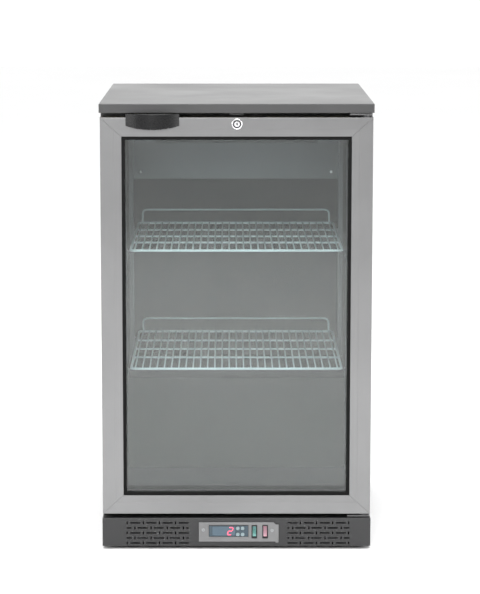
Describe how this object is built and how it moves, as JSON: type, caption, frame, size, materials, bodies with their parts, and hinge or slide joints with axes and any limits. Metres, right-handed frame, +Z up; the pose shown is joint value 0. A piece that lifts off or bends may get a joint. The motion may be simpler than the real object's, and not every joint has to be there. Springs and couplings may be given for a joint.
{
  "type": "undercounter refrigerator",
  "caption": "Compact undercounter refrigerator with a hinged glass door, wire shelves, a slotted machine panel with controls, and a flat steel worktop.",
  "frame": {"origin": "on the floor plane, under the middle of the refrigerator's bounding box", "axes": "+X to the right of someone facing the door, +Y from the door to the back, +Z up"},
  "size_m": [0.5, 0.54, 0.83],
  "materials": {
    "brushed_top_steel": "fine brushed stainless, satin",
    "grey_body_paint": "smooth grey paint, satin",
    "black_enamel_steel": "black enamel, satin",
    "matt_black_plastic": "fine matt texture",
    "galvanised_sheet": "galvanised, dull",
    "insulating_foam": "rigid foam, matt",
    "dark_liner": "dark grey liner sheet, semi-gloss",
    "dark_grey_panel": "dark grey paint, satin",
    "zinc_plate": "plain zinc-plated steel",
    "display_lens": "smoked clear lens, gloss",
    "pale_grey_plastic": "satin",
    "green_rocker_plastic": "translucent green, gloss",
    "red_rocker_plastic": "translucent red, gloss",
    "satin_grey_door_metal": "satin grey anodised extrusion",
    "clear_glass": "clear, polished",
    "black_rubber": "matt",
    "gloss_black_plastic": "high gloss",
    "bright_chrome": "polished",
    "bright_sheet": "bright stainless sheet",
    "mill_aluminium": "mill finish",
    "lamp_diffuser": "opal diffuser",
    "coated_wire": "pale plastic coat on steel wire"
  },
  "bodies": {
    "cabinet": {"worktop": "brushed_top_steel", "outer_shell": "grey_body_paint", "mouth_frame": "grey_body_paint", "rear_grille": "black_enamel_steel", "cable_gland": "matt_black_plastic", "base_plate": "galvanised_sheet", "insulated_body": "insulating_foam", "inner_liner": "dark_liner", "kick_panel": "dark_grey_panel", "control_bezel": "zinc_plate", "thermostat_body": "matt_black_plastic", "display_window": "display_lens", "light_switch_body": "matt_black_plastic", "power_switch_body": "matt_black_plastic", "hinge_bracket_upper": "zinc_plate", "hinge_bracket_lower": "zinc_plate", "evaporator_cover": "bright_sheet", "evaporator_coil": "mill_aluminium", "light_bar": "lamp_diffuser", "compressor": "black_enamel_steel", "condenser": "black_enamel_steel", "condenser_fan_motor": "black_enamel_steel", "condensate_tray": "matt_black_plastic", "lock_catch": "zinc_plate", "pilaster_front_left": "bright_sheet", "shelf_clip_lower_front_left": "bright_sheet", "shelf_clip_upper_front_left": "bright_sheet", "pilaster_front_right": "bright_sheet", "shelf_clip_lower_front_right": "bright_sheet", "shelf_clip_upper_front_right": "bright_sheet", "pilaster_rear_left": "bright_sheet", "shelf_clip_lower_rear_left": "bright_sheet", "shelf_clip_upper_rear_left": "bright_sheet", "pilaster_rear_right": "bright_sheet", "shelf_clip_lower_rear_right": "bright_sheet", "shelf_clip_upper_rear_right": "bright_sheet"},
    "door": {"door_frame_top": "satin_grey_door_metal", "door_frame_bottom": "satin_grey_door_metal", "door_frame_left": "satin_grey_door_metal", "door_frame_right": "satin_grey_door_metal", "outer_glass": "clear_glass", "inner_glass": "clear_glass", "glass_spacer": "matt_black_plastic", "door_gasket": "black_rubber", "door_handle": "gloss_black_plastic", "lock_barrel": "bright_chrome"},
    "lock": {"lock_plug": "bright_chrome"},
    "condenser_fan": {"condenser_fan_blade": "matt_black_plastic"},
    "light_rocker": {"light_switch_rocker": "green_rocker_plastic"},
    "power_rocker": {"power_switch_rocker": "red_rocker_plastic"},
    "lower_shelf": {"shelf_lower": "coated_wire"},
    "upper_shelf": {"shelf_upper": "coated_wire"},
    "set_button": {"thermostat_button_set": "pale_grey_plastic"},
    "up_button": {"thermostat_button_up": "pale_grey_plastic"},
    "down_button": {"thermostat_button_down": "pale_grey_plastic"},
    "defrost_button": {"thermostat_button_defrost": "pale_grey_plastic"},
    "foot_front_left": {"levelling_foot_front_left": "black_rubber"},
    "foot_front_right": {"levelling_foot_front_right": "black_rubber"},
    "foot_rear_left": {"levelling_foot_rear_left": "black_rubber"},
    "foot_rear_right": {"levelling_foot_rear_right": "black_rubber"}
  },
  "joints": [
    {"name": "door_hinge", "type": "hinge", "parent": "cabinet", "child": "door", "pos_m": [0.2355, -0.233, 0.43], "axis": [0, 0, 1], "range_deg": [0, 115]},
    {"name": "lock_turn", "type": "hinge", "parent": "door", "child": "lock", "pos_m": [0.0008, -0.233, 0.793], "axis": [0, 1, 0], "range_deg": [0, 90]},
    {"name": "condenser_fan_spin", "type": "hinge", "parent": "cabinet", "child": "condenser_fan", "pos_m": [-0.1025, 0.126, 0.1175], "axis": [0, 1, 0], "continuous": true},
    {"name": "light_rocker_tilt", "type": "hinge", "parent": "cabinet", "child": "light_rocker", "pos_m": [0.03325, -0.25, 0.03405], "axis": [1, 0, 0], "range_deg": [0, 16]},
    {"name": "power_rocker_tilt", "type": "hinge", "parent": "cabinet", "child": "power_rocker", "pos_m": [0.0533, -0.25, 0.03405], "axis": [1, 0, 0], "range_deg": [0, 16]},
    {"name": "lower_shelf_lift", "type": "slide", "parent": "cabinet", "child": "lower_shelf", "axis": [0, 0, 1], "range_m": [0, 0.03]},
    {"name": "upper_shelf_lift", "type": "slide", "parent": "cabinet", "child": "upper_shelf", "axis": [0, 0, 1], "range_m": [0, 0.03]},
    {"name": "set_button_press", "type": "slide", "parent": "cabinet", "child": "set_button", "axis": [0, 1, 0], "range_m": [0, 0.001], "stiffness_N_per_m": 400, "springref_m": -0.0005},
    {"name": "up_button_press", "type": "slide", "parent": "cabinet", "child": "up_button", "axis": [0, 1, 0], "range_m": [0, 0.001], "stiffness_N_per_m": 400, "springref_m": -0.0005},
    {"name": "down_button_press", "type": "slide", "parent": "cabinet", "child": "down_button", "axis": [0, 1, 0], "range_m": [0, 0.001], "stiffness_N_per_m": 400, "springref_m": -0.0005},
    {"name": "defrost_button_press", "type": "slide", "parent": "cabinet", "child": "defrost_button", "axis": [0, 1, 0], "range_m": [0, 0.001], "stiffness_N_per_m": 400, "springref_m": -0.0005},
    {"name": "foot_front_left_height", "type": "slide", "parent": "cabinet", "child": "foot_front_left", "axis": [0, 0, -1], "range_m": [0, 0.01]},
    {"name": "foot_front_right_height", "type": "slide", "parent": "cabinet", "child": "foot_front_right", "axis": [0, 0, -1], "range_m": [0, 0.01]},
    {"name": "foot_rear_left_height", "type": "slide", "parent": "cabinet", "child": "foot_rear_left", "axis": [0, 0, -1], "range_m": [0, 0.01]},
    {"name": "foot_rear_right_height", "type": "slide", "parent": "cabinet", "child": "foot_rear_right", "axis": [0, 0, -1], "range_m": [0, 0.01]}
  ]
}
